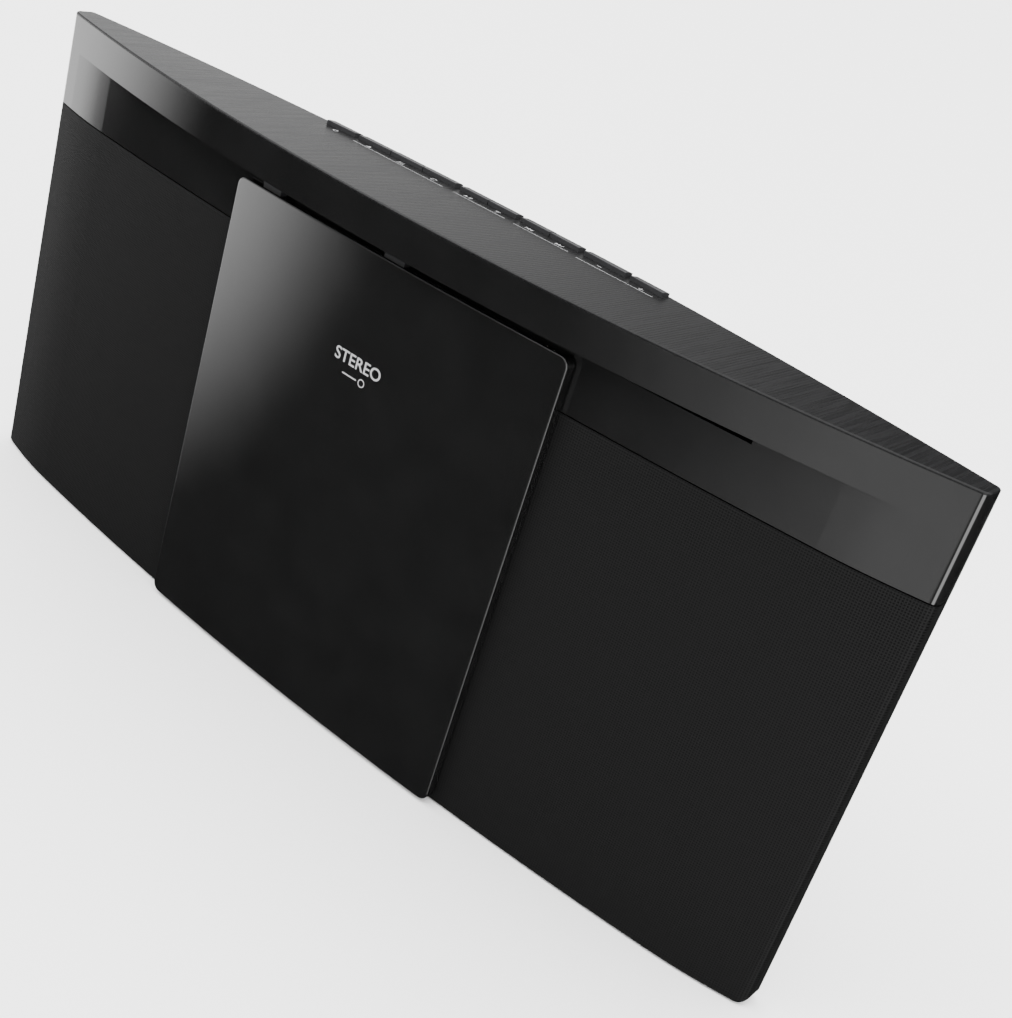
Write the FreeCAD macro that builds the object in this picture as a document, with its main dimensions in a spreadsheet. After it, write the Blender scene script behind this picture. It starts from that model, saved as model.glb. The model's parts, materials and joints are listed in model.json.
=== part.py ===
import FreeCAD, Part
import math
import os

import Sketcher
from types import SimpleNamespace

# Slim curved hi-fi system with a sliding CD door.
# Frame: +X to the right of someone facing it, -Y towards that person, +Z up. Millimetres.
# Origin: middle of the footprint, on the surface that the feet stand on.

DRIVING_SIZES = {
    # case, seen from above a lens with two blunt ends
    "body_width": 400.0,
    "body_height": 189.0,
    "end_depth": 8.8,
    "front_bulge": 26.0,
    "rear_bulge": 17.4,
    "corner_round": 3.6,
    "rear_round": 2.0,
    "low_round": 4.0,
    "crease_round": 200.0,
    "cover_thick": 3.0,
    "cover_edge": 0.9,
    "cover_bevel": 0.4,
    "floor_thick": 2.5,
    "rear_wall": 2.6,
    "feet_proud": 1.0,
    "foot_radius": 5.0,
    "foot_spread": 130.0,
    # gloss band across the top, with the lip that hides the door's upper edge
    "band_height": 35.8,
    "band_wall": 2.2,
    "lip_drop": 13.9,
    "lip_thick": 2.0,
    "seam_gap": 0.5,
    # the flatter arc that the door slides along: its radius over the front's, and its distance
    # behind the middle of the front
    "channel_flatness": 1.85367,
    "channel_depth": 9.4,
    # grilles and the chassis behind them
    "cloth_thick": 1.2,
    "grille_frame_thick": 0.9,
    "chassis_gap": 0.2,
    "chassis_thick": 2.2,
    # sliding door and what carries it
    "door_width": 150.0,
    "door_top": 171.2,
    "door_bottom": 0.5,
    "door_thick": 4.0,
    "door_skin": 2.2,
    "door_rim": 2.0,
    "door_corner": 3.5,
    "door_edge": 0.6,
    "door_gap": 0.6,
    "door_travel": 128.0,
    "rack_back": 3.8,
    "rack_thick": 2.6,
    "arm_width": 9.0,
    "arm_thick": 2.0,
    "rail_gap": 0.35,
    "rail_wall": 1.4,
    # gears
    "gear_module": 1.0,
    "gear_backlash": 0.35,
    "pinion_teeth": 16.0,
    "gear_face": 4.0,
    # disc bay
    "disc_radius": 60.0,
    "disc_room": 0.8,
    "disc_x": -8.5,
    "disc_z": 88.0,
    "bay_wall": 1.4,
    "bay_plate": 3.0,
    "well_depth": 9.0,
    "well_floor": 2.0,
    "hub_radius": 7.3,
    "platter_radius": 14.5,
    "shaft_radius": 1.0,
    "spindle_motor_radius": 11.0,
    "lens_start": 23.0,
    "sled_travel": 32.0,
    "sled_length": 18.0,
    "sled_width": 34.0,
    "sled_thick": 8.0,
    "lens_radius": 4.2,
    "rod_radius": 1.5,
    "rod_spacing": 24.0,
    "running_gap": 0.05,
    "deck_thick": 1.8,
    # vents in the back
    "vent_pitch": 15.0,
    "vent_width": 2.4,
    "vent_low": 118.0,
    "vent_high": 150.0,
    # drivers
    "driver_x": 126.0,
    "driver_z": 78.0,
    "driver_radius": 33.0,
    "driver_depth": 20.0,
    "magnet_radius": 15.0,
    # top buttons
    "button_raise": 1.5,
    "button_depth": 4.6,
    "button_gap": 0.3,
    "button_travel": 0.8,
    "stem_thick": 1.5,
    "key_gap": 0.1,
    # bracket holes in the rear cover
    "bracket_span_x": 120.0,
    "bracket_span_z": 75.0,
    "bracket_hole_radius": 2.2,
    # fastenings and sockets
    "screw_radius": 1.5,
    "screw_head_radius": 3.0,
    "boss_radius": 3.6,
    "board_thick": 1.6,
    "jack_radius": 1.8,
}

# Buttons from left to right: name, left edge and width along the top.
BUTTON_GROUPS = [
    [("power", -76.2, 13.6)],
    [("open_close", -60.6, 15.0), ("memory", -45.2, 15.0), ("play_mode", -29.8, 15.0)],
    [("disc", -12.4, 12.6), ("radio", 0.6, 12.6)],
    [("back", 15.4, 12.6), ("forward", 28.4, 12.6)],
    [("volume_down", 43.4, 17.6)],
    [("volume_up", 63.2, 13.4)],
]

document = FreeCAD.newDocument("mini_hifi")
sheet = document.addObject("Spreadsheet::Sheet", "Sheet")
for row, (alias, size) in enumerate(DRIVING_SIZES.items(), start=1):
    sheet.set("A%d" % row, str(size))
    sheet.setAlias("A%d" % row, alias)
document.recompute()


class Size:
    """A length worked out from the sheet: its value now, and the expression that the document keeps."""

    def __init__(self, number, text):
        self.number = float(number)
        self.text = text

    def _with(self, other, sign, number):
        return Size(number, "(%s %s %s)" % (self.text, sign, as_size(other).text))

    def __add__(self, other):
        return self._with(other, "+", self.number + as_size(other).number)

    def __sub__(self, other):
        return self._with(other, "-", self.number - as_size(other).number)

    def __mul__(self, other):
        return self._with(other, "*", self.number * as_size(other).number)

    def __truediv__(self, other):
        return self._with(other, "/", self.number / as_size(other).number)

    def __neg__(self):
        return Size(-self.number, "(0 - %s)" % self.text)

    __radd__ = __add__
    __rmul__ = __mul__

    def __rsub__(self, other):
        return as_size(other) - self

    def root(self):
        return Size(math.sqrt(self.number), "sqrt(%s)" % self.text)


def as_size(value):
    return value if isinstance(value, Size) else Size(value, "%.6g" % value)


def bind(item, name, size):
    """Sets a property and binds it to the sheet."""
    item.setExpression(name, as_size(size).text)


def arc_radius(chord, bulge):
    return (chord * chord / 4 + bulge * bulge) / (bulge * 2)


d = SimpleNamespace(**{name: Size(sheet.get(name), "Sheet." + name) for name in DRIVING_SIZES})

# Heights.
base_z = d.feet_proud
top_z = base_z + d.body_height
cover_z = top_z - d.cover_thick
edge_z = top_z - d.cover_edge
band_z = top_z - d.band_height
lip_z = top_z - d.lip_drop
floor_z = base_z + d.floor_thick
door_low_z = base_z + d.door_bottom
door_high_z = base_z + d.door_top

# Plan arcs: each is a radius and the place of its centre on the Y axis.
half_width = d.body_width / 2
half_depth = (d.end_depth + d.front_bulge + d.rear_bulge) / 2
front_r = arc_radius(d.body_width, d.front_bulge)
front_cy = front_r - half_depth
rear_r = arc_radius(d.body_width, d.rear_bulge)
rear_cy = half_depth - rear_r
channel_r = front_r * d.channel_flatness
channel_cy = channel_r + d.channel_depth - half_depth
grille_thick = d.cloth_thick + d.grille_frame_thick
inner_rear_r = rear_r - d.rear_wall


def front_y(x, inset=0):
    return front_cy - ((front_r - inset) * (front_r - inset) - x * x).root()


def rear_y(x, inset=0):
    return rear_cy + ((rear_r - inset) * (rear_r - inset) - x * x).root()


def channel_y(x, inset=0):
    return channel_cy - ((channel_r - inset) * (channel_r - inset) - x * x).root()


# Helpers: sketches, pads and pockets on a body's own planes.

def new_body(name):
    body = document.addObject("PartDesign::Body", name)
    body.Label = name
    return body


def new_sketch(body, plane="XY", level=0):
    sketch = body.newObject("Sketcher::SketchObject", body.Name + "_sketch")
    role = plane + "_Plane"
    origin = [item for item in body.Origin.OriginFeatures if item.Role == role][0]
    sketch.AttachmentSupport = [(origin, "")]
    sketch.MapMode = "FlatFace"
    bind(sketch, "AttachmentOffset.Base.z", level)
    return sketch


def fix_point(sketch, index, end, x, y):
    """Ties one end of a line, or a centre, to a place in the sketch."""
    for kind, place in (("DistanceX", as_size(x)), ("DistanceY", as_size(y))):
        number = sketch.addConstraint(Sketcher.Constraint(kind, -1, 1, index, end, place.number))
        sketch.setExpression("Constraints[%d]" % number, place.text)


def polygon(sketch, points):
    """A closed outline of straight lines through the given places."""
    places = [(as_size(x), as_size(y)) for x, y in points]
    corners = [FreeCAD.Vector(x.number, y.number, 0) for x, y in places]
    first = sketch.GeometryCount
    for index, corner in enumerate(corners):
        sketch.addGeometry(Part.LineSegment(corner, corners[(index + 1) % len(corners)]), False)
    for index, (x, y) in enumerate(places):
        previous = first + (index - 1) % len(places)
        sketch.addConstraint(Sketcher.Constraint("Coincident", previous, 2, first + index, 1))
        fix_point(sketch, first + index, 1, x, y)


def rectangle(sketch, x0, y0, x1, y1):
    polygon(sketch, [(x0, y0), (x1, y0), (x1, y1), (x0, y1)])


def circle(sketch, x, y, radius):
    x, y, radius = as_size(x), as_size(y), as_size(radius)
    centre = FreeCAD.Vector(x.number, y.number, 0)
    index = sketch.addGeometry(Part.Circle(centre, FreeCAD.Vector(0, 0, 1), radius.number), False)
    number = sketch.addConstraint(Sketcher.Constraint("Radius", index, radius.number))
    sketch.setExpression("Constraints[%d]" % number, radius.text)
    fix_point(sketch, index, 3, x, y)


def corner(sketch, x, z, outer_x, low, sign):
    """What lies between a quarter circle about a centre and a square corner outside it."""
    radius = d.low_round
    start = 1.5 * math.pi if sign > 0 else math.pi
    whole = Part.Circle(FreeCAD.Vector(x.number, z.number, 0), FreeCAD.Vector(0, 0, 1), radius.number)
    arc = sketch.addGeometry(Part.ArcOfCircle(whole, start, start + math.pi / 2), False)
    number = sketch.addConstraint(Sketcher.Constraint("Radius", arc, radius.number))
    sketch.setExpression("Constraints[%d]" % number, radius.text)
    fix_point(sketch, arc, 3, x, z)
    low_end, side_end = (1, 2) if sign > 0 else (2, 1)
    places = [(x, z - radius), (x, low), (outer_x, low), (outer_x, z), (x + radius * sign, z)]
    ends = [FreeCAD.Vector(place[0].number, place[1].number, 0) for place in places]
    first = sketch.GeometryCount
    for index in range(4):
        sketch.addGeometry(Part.LineSegment(ends[index], ends[index + 1]), False)
    for index in range(1, 4):
        sketch.addConstraint(Sketcher.Constraint("Coincident", first + index - 1, 2, first + index, 1))
        fix_point(sketch, first + index, 1, *places[index])
    sketch.addConstraint(Sketcher.Constraint("Coincident", arc, low_end, first, 1))
    sketch.addConstraint(Sketcher.Constraint("Coincident", first + 3, 2, arc, side_end))
    sketch.addConstraint(Sketcher.Constraint("Vertical", first))
    sketch.addConstraint(Sketcher.Constraint("Horizontal", first + 3))


def plan_arc(sketch, cy, radius, x0, x1, side):
    """An arc about a centre on the Y axis; side is -1 for its front stretch and 1 for its rear one."""
    cy, radius = as_size(cy), as_size(radius)
    lo, hi = [math.asin(as_size(x).number / radius.number) for x in (x0, x1)]
    start, end = math.pi / 2 - hi, math.pi / 2 - lo
    if side < 0:
        start, end = 1.5 * math.pi + lo, 1.5 * math.pi + hi
    whole = Part.Circle(FreeCAD.Vector(0, cy.number, 0), FreeCAD.Vector(0, 0, 1), radius.number)
    index = sketch.addGeometry(Part.ArcOfCircle(whole, start, end), False)
    number = sketch.addConstraint(Sketcher.Constraint("Radius", index, radius.number))
    sketch.setExpression("Constraints[%d]" % number, radius.text)
    fix_point(sketch, index, 3, 0, cy)
    return index


def plan_outline(sketch, fronts, rear, x0, x1):
    """A plan outline: front arcs from left to right, a rear arc, and two straight ends.

    Each front arc is (centre, radius, side, right end x); the rear arc is (centre, radius, side).
    """
    x0, x1 = as_size(x0), as_size(x1)
    chain = []
    left = x0
    for cy, radius, side, right in fronts:
        index = plan_arc(sketch, cy, radius, left, right, side)
        chain.append((index, 1, 2) if side < 0 else (index, 2, 1))
        left = right
    back = plan_arc(sketch, rear[0], rear[1], x0, x1, rear[2])
    back_left, back_right = (1, 2) if rear[2] < 0 else (2, 1)

    def spot(index, end):
        arc = sketch.Geometry[index]
        return arc.StartPoint if end == 1 else arc.EndPoint

    last, first = chain[-1], chain[0]
    right_line = Part.LineSegment(spot(last[0], last[2]), spot(back, back_right))
    right_line = sketch.addGeometry(right_line, False)
    left_line = Part.LineSegment(spot(back, back_left), spot(first[0], first[1]))
    left_line = sketch.addGeometry(left_line, False)
    joints = [(one[0], one[2], two[0], two[1]) for one, two in zip(chain, chain[1:])]
    joints += [(last[0], last[2], right_line, 1), (right_line, 2, back, back_right),
               (back, back_left, left_line, 1), (left_line, 2, first[0], first[1])]
    for joint in joints:
        sketch.addConstraint(Sketcher.Constraint("Coincident", *joint))
    for line, place_x in ((right_line, x1), (left_line, x0)):
        sketch.addConstraint(Sketcher.Constraint("Vertical", line))
        number = sketch.addConstraint(Sketcher.Constraint("DistanceX", -1, 1, line, 1, place_x.number))
        sketch.setExpression("Constraints[%d]" % number, place_x.text)


def crossing_x(inset):
    """Where the channel arc meets the front arc, both moved in by an inset."""
    span = channel_cy - front_cy
    outer, inner = channel_r - inset, front_r - inset
    along = (span * span + inner * inner - outer * outer) / (span * 2)
    return (inner * inner - along * along).root()


def case_outline(sketch, inset, rear, channel):
    """The case's plan moved in by an inset; channel says whether it follows the door's arc in front."""
    right = half_width - inset
    outer = (front_cy, front_r - inset, -1)
    fronts = [outer + (right,)]
    if channel:
        meet = crossing_x(inset)
        fronts = [outer + (-meet,), (channel_cy, channel_r - inset, -1, meet), outer + (right,)]
    plan_outline(sketch, fronts, rear, -right, right)


def extrude(body, kind, sketch, length):
    """A Pad that goes up, or a Pocket that cuts upwards, along the sketch plane's normal."""
    feature = body.newObject("PartDesign::" + kind, body.Name + "_" + kind.lower())
    feature.Profile = sketch
    bind(feature, "Length", length)
    feature.Reversed = kind == "Pocket"
    sketch.Visibility = False
    return feature


def case_step(body, kind, low, high, inset, rear, channel=False):
    sketch = new_sketch(body, "XY", low)
    case_outline(sketch, inset, rear, channel)
    return extrude(body, kind, sketch, high - low)


def box_step(body, kind, x0, y0, x1, y1, low, high):
    sketch = new_sketch(body, "XY", low)
    rectangle(sketch, x0, y0, x1, y1)
    return extrude(body, kind, sketch, high - low)


def front_step(body, kind, draw, y_start, y_end):
    """A Pad or Pocket along Y between two places; draw fills the sketch, whose axes are X and Z."""
    sketch = new_sketch(body, "XZ", -as_size(y_start))
    draw(sketch)
    feature = extrude(body, kind, sketch, as_size(y_end) - y_start)
    feature.Reversed = kind == "Pad"
    return feature


def round_edges(body, feature, radius, chosen, kind="Fillet", size="Radius"):
    """Rounds or bevels the edges whose bounding boxes are the chosen ones."""
    document.recompute()
    names = ["Edge%d" % number for number, edge in enumerate(feature.Shape.Edges, start=1)
             if chosen(edge.BoundBox)]
    if not names:
        raise RuntimeError(body.Name + " has no such edge to round")
    rounded = body.newObject("PartDesign::" + kind, "%s_%s_%d" % (body.Name, kind, len(body.Group)))
    rounded.Base = (feature, names)
    bind(rounded, size, radius)
    return rounded


def round_upright(body, feature, radius, x, y):
    """Rounds the upright edges at a place in plan and at its mirror image."""
    return round_edges(body, feature, radius, lambda box: box.XLength < 0.01 and box.YLength < 0.01
                       and abs(abs(box.XMin) - x.number) < 0.3 and abs(box.YMin - y.number) < 0.3)


def round_front_corners(body, feature, inset=0):
    corner_x = half_width - inset
    return round_upright(body, feature, d.corner_round - inset, corner_x, front_y(corner_x, inset))


def round_crease(body, feature):
    """Blends the door's flatter arc into the full bulge at both of their crossings."""
    x = crossing_x(0)
    return round_upright(body, feature, d.crease_round, x, front_y(x))


def round_low_corners(body):
    """Rounds the case's two lower ends about the Y axis."""
    for sign in (-1, 1):
        x, z = (half_width - d.low_round) * sign, base_z + d.low_round
        front_step(body, "Pocket", lambda sketch: corner(
            sketch, x, z, (half_width + 1) * sign, base_z - 1, sign),
                   -half_depth - 1, half_depth + 1)


def turned(name, plane, points, x, y, z):
    """A body turned about the second axis of its plane: XY turns about Y and XZ turns about Z."""
    body = new_body(name)
    sketch = new_sketch(body, plane)
    polygon(sketch, points)
    feature = body.newObject("PartDesign::Revolution", name + "_turn")
    feature.Profile = sketch
    feature.ReferenceAxis = (sketch, ["V_Axis"])
    feature.Angle = 360
    place(body, x, y, z)
    return body


def place(item, x, y, z):
    for axis, where in (("x", x), ("y", y), ("z", z)):
        bind(item, "Placement.Base." + axis, where)


def box_part(name, x0, y0, z0, x1, y1, z1):
    item = document.addObject("Part::Box", name)
    item.Label = name
    for side, low, high in (("Length", x0, x1), ("Width", y0, y1), ("Height", z0, z1)):
        bind(item, side, as_size(high) - low)
    place(item, x0, y0, z0)
    return item


def cylinder_part(name, radius, length, x, y, z, along="Z"):
    item = document.addObject("Part::Cylinder", name)
    item.Label = name
    bind(item, "Radius", radius)
    bind(item, "Height", length)
    turns = {"Z": (0, 0, 0), "X": (0, 90, 0), "Y": (0, 0, -90)}
    item.Placement.Rotation = FreeCAD.Rotation(*turns[along])
    place(item, x, y, z)
    return item


def join(name, kind, items):
    """Part::MultiFuse, Part::MultiCommon or Part::Compound of some items."""
    item = document.addObject("Part::" + kind, name)
    item.Label = name
    if kind == "Compound":
        item.Links = items
    else:
        item.Shapes = items
    return item


def cut(name, base, tool):
    item = document.addObject("Part::Cut", name)
    item.Label = name
    item.Base = base
    item.Tool = tool
    return item


REAR_FACE = (rear_cy, rear_r, 1)
REAR_INNER = (rear_cy, inner_rear_r, 1)
REAR_OPEN = (rear_cy, rear_r + 2, 1)


# Places shared by several pieces.
bay_half = d.door_width / 2 - 3.8
bay_low = base_z + 4
bay_high = band_z - d.seam_gap
arm_z = lip_z - d.rail_gap - d.arm_thick
arm_left = -(d.door_width / 2) + 12
arm_right = arm_left + 60
carrier_low_z = arm_z - 3
carrier_high_z = lip_z + d.lip_thick + 2.9
carrier_left = -(d.door_width / 2) + 1
carrier_right = carrier_left + d.door_travel + 5
rail_low_z = carrier_low_z - d.rail_gap - 2
gear_z = arm_z - 1
well_r = d.disc_radius + d.disc_room
bay_front_y = channel_y(0, d.rail_gap)
well_y = bay_front_y + d.well_depth
floor_back_y = well_y + d.well_floor
deck_y = half_depth - d.rear_wall - 19.5
pitch_r = d.gear_module * d.pinion_teeth / 2
rack_pitch_r = channel_r - d.rack_back - d.rack_thick - d.gear_module
pinion_x = carrier_left + d.door_travel + 2.5
pinion_r = rack_pitch_r - pitch_r
pinion_y = channel_cy - (pinion_r * pinion_r - pinion_x * pinion_x).root()
lens_x = d.disc_x + d.lens_start
sled_y = floor_back_y + 0.6
sled_gear_x = lens_x + d.sled_travel - d.sled_length / 2 + 2.5
rack_line_z = d.disc_z - d.sled_width / 2 - 1.5 - d.gear_module
sled_gear_z = rack_line_z - pitch_r
screw_sink = d.rear_wall - 0.2
screw_length = 9.0
post_places = [(-28, 30), (-28, -30), (20, -33), (36, 30)]
button_board_z = cover_z - 6.2
key_top_z = button_board_z + d.board_thick + 1.9
stem_low_z = key_top_z + d.button_travel + d.key_gap
stem_top_z = cover_z + d.button_travel + 0.3
screw_places = [(x * sign, z) for sign in (-1, 1) for x, z in ((84, 20), (84, 128), (166, 30), (166, 128))]
bracket_places = [(d.bracket_span_x / 2 * sign, level) for sign in (-1, 1)
                  for level in (base_z + 35, base_z + 35 + d.bracket_span_z)]
foot_places = [(d.foot_spread * sign, 3) for sign in (-1, 1)]
foot_places += [(d.foot_spread / 3 * sign, y) for sign in (-1, 1) for y in (-7.0, 16.0)]
# Left, bottom, right and top of the openings for the mains, antenna, auxiliary and headphone sockets.
socket_openings = [(-52, 30, -30, 42), (4, 30, 16, 42), (22, 31, 30, 41), (36, 31, 44, 41)]


# Case.

def group_edges(group):
    return group[0][1], group[-1][1] + group[-1][2]


def rear_strip(body, kind, front_inset, rear_inset, x0, x1, low, high):
    """A stretch that follows the rear face, between two insets from it."""
    sketch = new_sketch(body, "XY", low)
    front = (rear_cy, rear_r - front_inset, 1, as_size(x1))
    plan_outline(sketch, [front], (rear_cy, rear_r - rear_inset, 1), x0, x1)
    return extrude(body, kind, sketch, as_size(high) - low)


def channel_strip(body, kind, front_inset, rear_inset, x0, x1, low, high):
    """A stretch that follows the door's arc, between two insets behind it."""
    sketch = new_sketch(body, "XY", low)
    front = (channel_cy, channel_r - front_inset, -1, as_size(x1))
    plan_outline(sketch, [front], (channel_cy, channel_r - rear_inset, -1), x0, x1)
    return extrude(body, kind, sketch, as_size(high) - low)


def top_cover():
    """A plate whose thin edge lies on the band and whose body sits inside it."""
    body = new_body("top_cover")
    plate = case_step(body, "Pad", edge_z, top_z, 0, REAR_FACE)
    plate = round_front_corners(body, plate)
    plate = round_upright(body, plate, d.rear_round, half_width, rear_y(half_width))
    front_limit = front_y(half_width).number + 1
    round_edges(body, plate, d.cover_bevel, lambda box: box.ZMin > top_z.number - 0.01
                and box.XLength > half_width.number and box.YMax < front_limit, "Chamfer", "Size")
    case_step(body, "Pad", cover_z, edge_z, d.band_wall + d.chassis_gap, REAR_FACE)
    for group in BUTTON_GROUPS:
        left, right = group_edges(group)
        rear_strip(body, "Pocket", d.button_depth + d.button_gap, -1,
                   left - d.button_gap, right + d.button_gap, cover_z, top_z)


def front_fascia():
    """The gloss band: full bulge above the lip, the door's flatter arc below it."""
    body = new_body("front_fascia")
    lower = case_step(body, "Pad", band_z, lip_z, 0, REAR_INNER, True)
    round_crease(body, lower)
    case_step(body, "Pad", lip_z, cover_z, 0, REAR_INNER)
    upper = case_step(body, "Pad", cover_z, edge_z, 0, REAR_FACE)
    upper = round_front_corners(body, upper)
    round_upright(body, upper, d.rear_round, half_width, rear_y(half_width))
    shelf_z = lip_z + d.lip_thick
    case_step(body, "Pocket", band_z, shelf_z, d.band_wall, REAR_OPEN, True)
    case_step(body, "Pocket", shelf_z, edge_z, d.band_wall, REAR_OPEN)
    slot_end = arm_right + d.arm_width + d.door_travel + 1.5
    channel_strip(body, "Pocket", -1, d.band_wall + 1, arm_left - 1.5, slot_end, arm_z - d.rail_gap, lip_z)


def grilles():
    """Each grille is a ribbed frame with a skin of cloth, and wraps round its end of the case."""
    low, high = base_z, band_z - d.seam_gap
    edge = d.door_width / 2 - 2.6
    window_low, window_high = d.driver_z - d.driver_radius, d.driver_z + d.driver_radius
    for side, sign in (("left", -1), ("right", 1)):
        far = (half_width + 5) * sign
        away = sorted((-far, edge * sign), key=lambda size: size.number)
        for name, outer, inner in (("grille_cloth_", as_size(0), d.cloth_thick),
                                   ("grille_frame_", d.cloth_thick, grille_thick)):
            body = new_body(name + side)
            shell = case_step(body, "Pad", low, high, outer, REAR_INNER, True)
            if name == "grille_cloth_":
                shell = round_crease(body, shell)
            round_front_corners(body, shell, outer)
            case_step(body, "Pocket", low, high, inner, REAR_OPEN, True)
            box_step(body, "Pocket", away[0], -half_depth - 5, away[1], half_depth + 5, low, high)
            round_low_corners(body)
            if name == "grille_frame_":
                for column in (-1, 0, 1):
                    middle = d.driver_x * sign + column * 24
                    front_step(body, "Pocket", lambda sketch: rectangle(
                        sketch, middle - 10.5, window_low, middle + 10.5, window_high), -half_depth, 5)


def front_chassis():
    """The baffle that holds both drivers, with a window for the disc bay."""
    body = new_body("front_chassis")
    inset = grille_thick + d.chassis_gap
    low, high = floor_z, rail_low_z
    case_step(body, "Pad", low, high, inset, REAR_INNER, True)
    case_step(body, "Pocket", low, high, inset + d.chassis_thick, REAR_OPEN, True)
    front_step(body, "Pocket", lambda sketch: rectangle(
        sketch, -bay_half - d.rail_gap, bay_low - d.rail_gap, bay_half + d.rail_gap, bay_high + d.rail_gap),
        -half_depth, 0)
    for sign in (-1, 1):
        front_step(body, "Pocket", lambda sketch: circle(
            sketch, d.driver_x * sign, d.driver_z, d.driver_radius - 4), -half_depth, 5)


def rear_cover():
    """The curved back, with bosses for its screws, bracket holes, vents and socket openings."""
    body = new_body("rear_cover")
    wall = rear_strip(body, "Pad", d.rear_wall, 0, -half_width, half_width, base_z, cover_z)
    round_upright(body, wall, d.rear_round, half_width, rear_y(half_width))
    for x, z in screw_places:
        depth = rear_y(x, d.rear_wall) - channel_y(x) - grille_thick - d.chassis_thick - d.chassis_gap - 1
        back = rear_y(x, 1)
        front_step(body, "Pad", lambda sketch: circle(sketch, x, z, d.boss_radius), back - depth, back)
        front_step(body, "Pocket", lambda sketch: circle(sketch, x, z, d.screw_radius), back - depth - 1,
                   half_depth + 1)
        front_step(body, "Pocket", lambda sketch: circle(sketch, x, z, d.screw_head_radius + 0.2),
                   rear_y(x, screw_sink), half_depth + 1)
    for x, z in bracket_places:
        front_step(body, "Pocket", lambda sketch: circle(sketch, x, z, d.bracket_hole_radius), 5,
                   half_depth + 1)
    for column in range(-4, 5):
        left, right = d.vent_pitch * column - d.vent_width / 2, d.vent_pitch * column + d.vent_width / 2
        front_step(body, "Pocket", lambda sketch: rectangle(sketch, left, d.vent_low, right, d.vent_high), 5,
                   half_depth + 1)
    for x0, z0, x1, z1 in socket_openings:
        front_step(body, "Pocket", lambda sketch: rectangle(sketch, x0, z0, x1, z1), 5, half_depth + 1)
    round_low_corners(body)


def bottom_cover():
    body = new_body("bottom_cover")
    case_step(body, "Pad", base_z, floor_z, grille_thick + d.chassis_gap, REAR_INNER, True)
    for x, y in foot_places:
        sketch = new_sketch(body, "XY", base_z)
        circle(sketch, x, y, d.screw_radius)
        extrude(body, "Pocket", sketch, d.floor_thick)
    round_low_corners(body)


# Sliding door and its drive.

def cd_door():
    """A shallow tray with its gloss skin in front, rounded corners and softened front edges."""
    body = new_body("cd_door")
    front, back = d.door_gap + d.door_thick, d.door_gap
    half = d.door_width / 2
    slab = channel_strip(body, "Pad", -front, -back, -half, half, door_low_z, door_high_z)
    slab = round_edges(body, slab, d.door_corner, lambda box: box.XLength < 0.01 and box.ZLength < 0.01)
    front_limit = channel_y(half, -front).number + 0.3
    round_edges(body, slab, d.door_edge, lambda box: box.YMin < front_limit
                and (box.XLength > 0.01 or box.ZLength > 0.01))
    channel_strip(body, "Pocket", -front + d.door_skin, -back + 1, -half + d.door_rim, half - d.door_rim,
                  door_low_z + d.door_rim, door_high_z - d.door_rim)


def door_carrier():
    """The bar behind the band that carries the door on two arms, with rack teeth on its back."""
    bar = new_body("door_carrier_bar")
    channel_strip(bar, "Pad", d.rack_back, d.rack_back + d.rack_thick, carrier_left, carrier_right,
                  carrier_low_z, carrier_high_z)
    for left in (arm_left, arm_right):
        channel_strip(bar, "Pad", -d.door_gap - d.door_thick + 0.6, d.rack_back + 0.5, left,
                      left + d.arm_width, arm_z, arm_z + d.arm_thick)
        channel_strip(bar, "Pad", -d.door_gap - d.door_thick + 0.9, -d.door_gap, left, left + d.arm_width,
                      door_high_z, arm_z)
    root_r = rack_pitch_r.number + d.gear_module.number
    pitch_angle = math.pi * d.gear_module.number / rack_pitch_r.number
    start = math.asin(pinion_x.number / pinion_r.number)
    teeth = []
    for step in range(-60, 8):
        angle = start + step * pitch_angle
        x = root_r * math.sin(angle)
        if carrier_left.number + 2 < x < carrier_right.number - 2:
            tooth = rack_tooth()
            tooth.rotate(FreeCAD.Vector(), FreeCAD.Vector(0, 0, 1), math.degrees(angle))
            tooth.translate(FreeCAD.Vector(rack_pitch_r.number * math.sin(angle),
                                           channel_cy.number - rack_pitch_r.number * math.cos(angle),
                                           gear_z.number))
            teeth.append(tooth)
    rack = document.addObject("Part::Feature", "door_rack_teeth")
    rack.Shape = Part.makeCompound(teeth)
    join("door_carrier", "MultiFuse", [bar, rack])


def rack_tooth():
    """One tooth that points to +Y from a rack whose pitch line is the X axis, standing along Z."""
    half = (math.pi * d.gear_module.number / 2 - d.gear_backlash.number) / 2
    slope = math.tan(math.radians(20))
    tip, root = 0.8 * d.gear_module.number, -d.gear_module.number - 0.3
    corners = [(half - tip * slope, tip), (half - root * slope, root),
               (-half + root * slope, root), (-half + tip * slope, tip)]
    points = [FreeCAD.Vector(x, y, 0) for x, y in corners]
    face = Part.Face(Part.makePolygon(points + points[:1]))
    return face.extrude(FreeCAD.Vector(0, 0, d.gear_face.number))


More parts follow.
